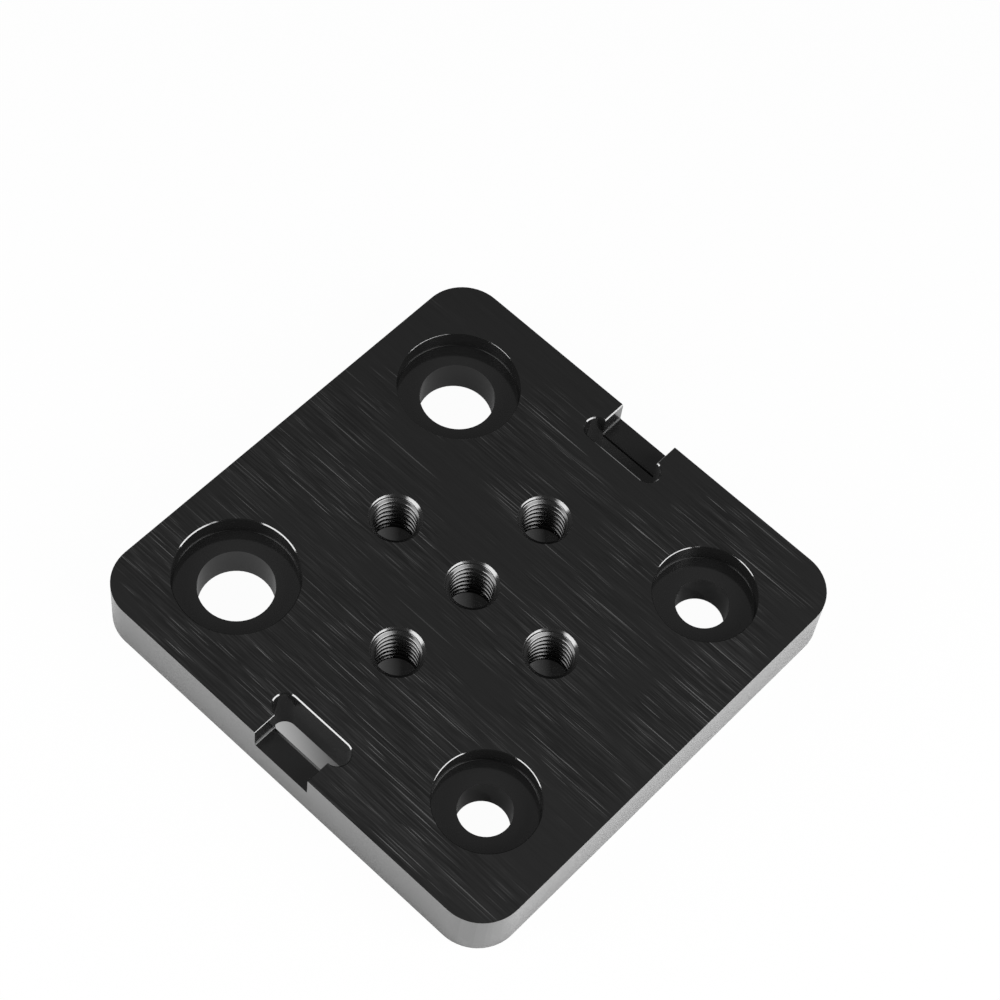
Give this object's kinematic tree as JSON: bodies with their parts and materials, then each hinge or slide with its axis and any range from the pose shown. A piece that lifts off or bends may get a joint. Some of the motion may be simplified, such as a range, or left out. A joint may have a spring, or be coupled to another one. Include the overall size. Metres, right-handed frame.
{
  "type": "gantry plate",
  "caption": "Square black aluminium carriage plate for a wheeled linear rail, with counterbored wheel holes, tapped accessory holes and stepped belt slots at both ends.",
  "frame": {"origin": "middle of the underside", "axes": "+X along the rail and the belt, +Y across the rail towards the eccentric wheel holes, +Z out of the top face"},
  "size_m": [0.05, 0.05, 0.006],
  "materials": {
    "black_anodised": "black anodised, top face brushed across the rail"
  },
  "bodies": {
    "root": {"gantry_plate": "black_anodised"}
  },
  "joints": []
}
